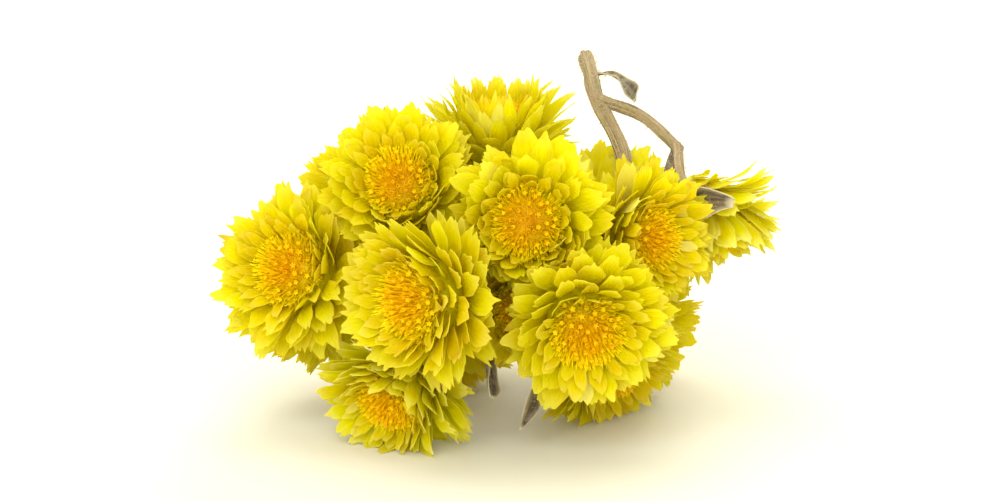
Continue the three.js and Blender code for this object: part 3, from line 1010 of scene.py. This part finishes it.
for head in heads:
    addDisc(head)
print("florets made")


# Stem

stem = {
    # where it forks and ends, measured from the lowest corner of its box in the frame
    "joints": {
        "cutEnd": (16.34, 22.97, 17.1),
        "leafNode": (16.64, 20.27, 16.5),
        "fork": (16.94, 17.87, 15.5),
        "outer": (21.64, 13.97, 13.5),
        "hub": (13.64, 9.37, 7.7),
        "upperLeft": (9.04, 8.57, 9.7),
        "lowerLeft": (9.14, 7.17, 5.7),
        "front": (14.84, 5.97, 7.3),
        "right": (15.84, 9.97, 6.5),
    },
    "branches": [
        {
            "by": ["cutEnd", "leafNode", "fork", (18.54, 13.47, 12.3), (16.34, 10.77, 9.6), "hub"],
            "radii": (0.46, 0.38),
        },
        {"by": ["fork", (19.54, 16.27, 14.9), "outer"], "radii": (0.34, 0.32)},
        {"by": ["hub", (11.24, 8.77, 9.0), "upperLeft"], "radii": (0.36, 0.34)},
        {"by": ["hub", (11.24, 8.17, 6.5), "lowerLeft"], "radii": (0.36, 0.34)},
        {"by": ["hub", "front"], "radii": (0.36, 0.34)},
        {"by": ["hub", "right"], "radii": (0.36, 0.34)},
    ],
    "heads": {  # which heads' stalks spring from which joint
        "upperLeft": ["01", "03", "09", "11", "13"],
        "lowerLeft": ["04", "07", "12", "16"],
        "front": ["02", "06", "08", "17"],
        "right": ["05", "14", "15", "18"],
        "outer": ["10"],
    },
    "stalk": {
        "radius": 0.3,
        "collar": 0.66,
        "collarStart": 0.8,
        "collarPower": 1.6,
        "footDepth": 2.9,
        "gap": 0.3,
        "leaving": 0.3,
        "arriving": 0.4,
        "swelling": 0.3,
        "swellingEnds": 1 / 12,  # in lengths of the stalk
        "neck": 0.8,
    },
    "limb": {
        "sides": 16,
        "spacing": 0.35,
        "ridges": 5,
        "ridgeDepth": 0.14,
        "ridgeTwist": 0.35,
        "unevenness": 0.04,
        "unevenTurn": 2.3,
        "swelling": 0.25,
        "swellingEnds": 0.7,
        "fibreLength": 4,
        "cut": [(0.1, 0.08), (0.4, 0.05), (0.7, -0.07), (0.78, -0.05), (0.6, 0.25)],
    },
}
stemCorner = np.array(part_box("stem")[0]) / mm


def jointAt(place):
    return stemCorner + np.array(stem["joints"][place] if isinstance(place, str) else place)


# Unit vectors out from a path, all round it.
def ringRound(turns, sideways, across):
    return np.cos(turns)[:, None] * sideways + np.sin(turns)[:, None] * across


# A furrowed limb along a path, uneven in thickness, its furrows turning slowly round it.
def addLimb(batch, path, radii, rng, neck=0.0, isCut=False):
    shape = stem["limb"]
    tangents, sideways, across = framesAlong(path)
    sides = shape["sides"]
    turns = turnsOf(sides)
    lengths = np.concatenate([[0], np.cumsum(np.linalg.norm(np.diff(path, axis=0), axis=1))])
    phase, tone = rng.uniform(0, 6), rng.uniform()
    points = []
    for i, centre in enumerate(path):
        ridges = np.cos(shape["ridges"] * turns + phase + lengths[i] * shape["ridgeTwist"])
        wobble = 1 + shape["ridgeDepth"] * ridges
        wobble *= 1 + shape["unevenness"] * math.sin(lengths[i] * shape["unevenTurn"] + phase)
        points.append(centre + ringRound(turns, sideways[i], across[i]) * (radii[i] * wobble)[:, None])
    around = np.tile(np.abs(np.linspace(-1, 1, sides, endpoint=False)), len(path))
    marks = {
        "along": np.repeat(lengths, sides) / shape["fibreLength"],
        "across": around * 2,
        "tone": tone,
        "neck": np.repeat(np.linspace(0, 1, len(path)) ** 3 * neck, sides),
        "pith": 0.0,
    }
    points = pressed(np.concatenate(points), floorSoftness["limb"])
    batch.add(points, tubeFaces(len(path), sides), **marks)
    if isCut:
        addCut(batch, path[0], sideways[0], across[0], tangents[0], radii[0])


# The cut end shows a paler, slightly hollow pith inside its rind.
def addCut(batch, centre, sideways, across, tangent, radius):
    sides, rings = stem["limb"]["sides"], stem["limb"]["cut"]
    ring = ringRound(turnsOf(sides), sideways, across)
    points = np.concatenate([centre + ring * radius * r + tangent * depth for r, depth in rings])
    marks = {"along": 0.0, "across": 0.0, "tone": 0.3, "neck": 0.0, "pith": 1.0}
    batch.add(points, tubeFaces(len(rings), sides), **marks)


# A stalk bends from its joint to meet its head from below, along the head's axis.
def stalkPath(start, head):
    shape = stem["stalk"]
    end = head["seat"] - head["axis"] * shape["footDepth"] * head["size"]
    reach = np.linalg.norm(end - head["axis"] * shape["gap"] - start)
    leaving = start + (end - start) * shape["leaving"]
    arriving = end - head["axis"] * reach * shape["arriving"]
    steps = max(8, round(reach / stem["limb"]["spacing"]))
    return bezier((start, leaving, arriving, end), np.linspace(0, 1, steps))


# How much thicker a limb is, at a distance from the fork that it springs from.
def swollen(distance, swelling, ends):
    return 1 + swelling * np.exp(-((distance / ends) ** 2))


def addBranch(batch, branch, rng, isFirst):
    shape = stem["limb"]
    path = throughPoints([jointAt(place) for place in branch["by"]], shape["spacing"])
    distance = np.arange(len(path)) * shape["spacing"]
    if isFirst:
        distance = distance[::-1]  # the main stem begins at its cut end and swells at the hub
    radii = np.linspace(*branch["radii"], len(path))
    radii = radii * swollen(distance, shape["swelling"], shape["swellingEnds"])
    addLimb(batch, path, radii, rng, isCut=isFirst)
    return path, radii


def addStalk(batch, start, head, rng):
    shape = stem["stalk"]
    path = stalkPath(start, head)
    share = np.linspace(0, 1, len(path))
    flare = np.clip((share - shape["collarStart"]) / (1 - shape["collarStart"]), 0, 1)
    radii = shape["radius"] + (shape["collar"] - shape["radius"]) * flare ** shape["collarPower"]
    radii = radii * swollen(share, shape["swelling"], shape["swellingEnds"])
    addLimb(batch, path, radii, rng, neck=shape["neck"])
    return path, radii


def addStem():
    rng = np.random.default_rng(seeds["stem"])
    batch = Batch()
    first = stem["branches"][0]
    made = [addBranch(batch, branch, rng, branch is first) for branch in stem["branches"]]
    byNumber = {head["number"]: head for head in heads}
    for joint, owned in stem["heads"].items():
        made += [addStalk(batch, jointAt(joint), byNumber[number], rng) for number in owned]
    piece = batch.piece("felted_stem", [felted], sharpAngle=60)
    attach(piece, "root")
    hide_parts("stem")
    return made


limbs = addStem()
print("stem made")


# Wool

wool = {
    "perSquareMm": 17,
    "length": (0.25, 0.7),
    "radius": 0.011,
    "taper": 0.75,
    "bends": 3,
    "rise": 0.55,
    "lift": (-0.25, 0.35),
    "rooted": 0.95,  # in radii of the limb that it grows on
    "offFloor": 0.02,
}


# Fine cobwebby hairs: each is a three-sided thread that bends as it leaves the surface.
def addHair(batch, start, outward, lengthwise, length, rng):
    sideways = np.cross(outward, lengthwise)
    drift = unit(lengthwise * rng.normal() + sideways * rng.normal() + outward * 0.5)
    middle = start + (outward * wool["rise"] + drift * (1 - wool["rise"])) * length * 0.5
    end = middle + (drift * 0.9 + outward * rng.uniform(*wool["lift"])) * length * 0.5
    share = np.linspace(0, 1, wool["bends"] + 1)
    path = bezier((start, middle, end), share)
    side = unit(np.cross(outward, drift) + 1e-4)
    ring = ringRound(turnsOf(3), side, unit(np.cross(side, path[-1] - path[0])))
    radii = wool["radius"] * (1 - wool["taper"] * share)
    points = np.concatenate([centre + ring * radius for centre, radius in zip(path, radii)])
    if points[:, 2].min() < wool["offFloor"]:
        return
    batch.add(points, tubeFaces(len(path), 3), along=np.repeat(share, 3))


def addStemWool():
    rng = np.random.default_rng(seeds["wool"])
    batch = Batch()
    for path, radii in limbs:
        tangents, sideways, across = framesAlong(path)
        length = np.linalg.norm(np.diff(path, axis=0), axis=1).sum()
        count = int(2 * math.pi * radii.mean() * length * wool["perSquareMm"])
        for _ in range(count):
            i = rng.integers(len(path) - 1)
            turn = rng.uniform(0, 2 * math.pi)
            outward = math.cos(turn) * sideways[i] + math.sin(turn) * across[i]
            centre = path[i] + (path[i + 1] - path[i]) * rng.uniform()
            root = centre + outward * radii[i] * wool["rooted"]
            addHair(batch, root, outward, tangents[i], rng.uniform(*wool["length"]), rng)
    piece = batch.piece("stem_wool", [woolly], sharpAngle=180)
    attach(piece, "root")


addStemWool()
print("wool made")


# Leaves

leaves = {
    "paths": [  # each runs from a joint of the stem by the points given, and rolls over toward its tip
        {
            "by": ["outer", (20.6, 12.5, 12.3), (20.2, 7.0, 9.6), (21.4, 4.6, 13.1), (24.6, 5.2, 12.3)],
            "width": 1.9,
            "roll": 80,
        },
        {"by": ["front", (14.44, 1.97, 3.9), (12.24, 0.07, 0.15)], "width": 0.9, "roll": 20},
        {"by": ["lowerLeft", (11.04, 3.77, 3.3), (10.64, 0.97, 1.9)], "width": 1.2, "roll": -30},
        {"by": ["leafNode", (18.84, 19.17, 17.4), (19.14, 16.17, 15.9)], "width": 1.0, "roll": 30},
    ],
    "stations": 26,
    "columns": 9,
    "widthAt": [(0, 0.2), (0.35, 0.32), (0.62, 0.95), (0.85, 1), (1, 0.25)],
    "thickness": 0.1,
    "fold": 0.32,
    "wave": 0.1,
    "waves": 11,
    "waveSlant": 1.5,
    "sway": 0.4,
    "sways": 4,
    "hairs": 120,
    "hairLength": (0.2, 0.6),
}


# A folded, waved blade that rolls as it goes, and the hairs on it.
def addLeaf(batch, hairs, leaf, rng):
    shape = leaves
    stations, columns = shape["stations"], shape["columns"]
    share = np.linspace(0, 1, stations)
    path = bezier([jointAt(place) for place in leaf["by"]], share)
    tangents, sideways, outward = framesAlong(path)
    widths = np.interp(share, *np.transpose(shape["widthAt"])) * leaf["width"] / 2
    across = np.linspace(-1, 1, columns)
    phase = rng.uniform(0, 6)
    grids = []
    for face in (0.5, -0.5):
        rows = []
        for i in range(stations):
            roll = math.radians(leaf["roll"]) * share[i]
            roll += shape["sway"] * math.sin(share[i] * shape["sways"] + phase)
            side = sideways[i] * math.cos(roll) + outward[i] * math.sin(roll)
            lift = outward[i] * math.cos(roll) - sideways[i] * math.sin(roll)
            waves = np.sin(share[i] * shape["waves"] + across * shape["waveSlant"] + phase)
            folded = (1 - across**2) * shape["fold"] * widths[i] * 2
            folded = folded + shape["wave"] * waves * np.abs(across) + shape["thickness"] * face
            rows.append(path[i] + np.outer(across * widths[i], side) + np.outer(folded, lift))
        grids.append(np.concatenate(rows))
    points = pressed(np.concatenate(grids), floorSoftness["leaf"])
    marks = {"along": np.tile(np.repeat(share, columns), 2), "across": np.tile(across, 2 * stations)}
    batch.add(points, shellFaces(stations, columns), tone=rng.uniform(), **marks)
    for _ in range(shape["hairs"]):
        k = rng.integers(len(grids[0]))
        i = k // columns
        facing = outward[i] * rng.choice([-1, 1])
        addHair(hairs, grids[0][k], facing, tangents[i], rng.uniform(*shape["hairLength"]), rng)


def addLeaves():
    rng = np.random.default_rng(seeds["leaves"])
    blades, hairs = Batch(), Batch()
    for leaf in leaves["paths"]:
        addLeaf(blades, hairs, leaf, rng)
    made = [blades.piece("dry_leaves", [withered], sharpAngle=70)]
    made.append(hairs.piece("leaf_wool", [woolly], sharpAngle=180))
    for piece in made:
        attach(piece, "root")


addLeaves()
print("leaves made")


# Floor, lights and camera

# In metres and watts.
studio = {
    "floorSize": 6.0,
    "floorColour": (0.76, 0.735, 0.67),
    "sky": 1.0,
    "skyColour": (1.0, 0.975, 0.70),
    "key": {"place": (-0.08, 0.06, 0.46), "size": 0.5, "power": 1.1},
    "fill": {"place": (-0.06, -0.46, 0.24), "size": 0.50, "power": 2.5},
    "back": {"place": (0.12, 0.36, 0.24), "size": 0.30, "power": 1.0},
}
view = {
    "lens": 150,
    "sensor": 36,
    "elevation": 15,
    "pixelsPerMm": 17.0,
    "imageWidth": 999,
    "clipShare": 0.05,
}


def addFloor():
    half = studio["floorSize"] / 2 / mm
    corners = [(-half, -half, 0), (half, -half, 0), (half, half, 0), (-half, half, 0)]
    material, tree, shader = newMaterial("pale floor", Roughness=0.9, Specular_IOR_Level=0.1)
    shader.inputs["Base Color"].default_value = (*studio["floorColour"], 1)
    addPiece("floor", corners, [[0, 1, 2, 3]], [material])


def addLight(name, look, target):
    light = bpy.data.lights.new(name, "AREA")
    light.shape = "DISK"
    light.size = look["size"]
    light.energy = look["power"]
    lamp = bpy.data.objects.new(name, light)
    lamp.location = look["place"]
    lamp.rotation_euler = (Vector(target) - lamp.location).to_track_quat("-Z", "Y").to_euler()
    bpy.context.scene.collection.objects.link(lamp)


def addCamera(target):
    camera = bpy.data.cameras.new("camera")
    camera.lens = view["lens"]
    camera.sensor_width = view["sensor"]
    shownWidth = view["imageWidth"] / view["pixelsPerMm"] * mm
    distance = view["lens"] / view["sensor"] * shownWidth
    elevation = math.radians(view["elevation"])
    back = Vector((0, -math.cos(elevation), math.sin(elevation)))
    holder = bpy.data.objects.new("camera", camera)
    holder.location = Vector(target) + back * distance
    holder.rotation_euler = (-back).to_track_quat("-Z", "Y").to_euler()
    camera.clip_start = distance * view["clipShare"]
    bpy.context.scene.collection.objects.link(holder)
    bpy.context.scene.camera = holder


def addSky():
    world = bpy.data.worlds.new("studio white")
    world.use_nodes = True
    background = world.node_tree.nodes["Background"]
    background.inputs["Color"].default_value = (*studio["skyColour"], 1)
    background.inputs["Strength"].default_value = studio["sky"]
    bpy.context.scene.world = world


middle = (Vector(cadBox[0]) + Vector(cadBox[1])) / 2
addFloor()
addSky()
for name in ("key", "fill", "back"):
    addLight(name, studio[name], middle)
addCamera(middle)
bpy.context.scene.view_settings.view_transform = "Standard"
print("studio set")
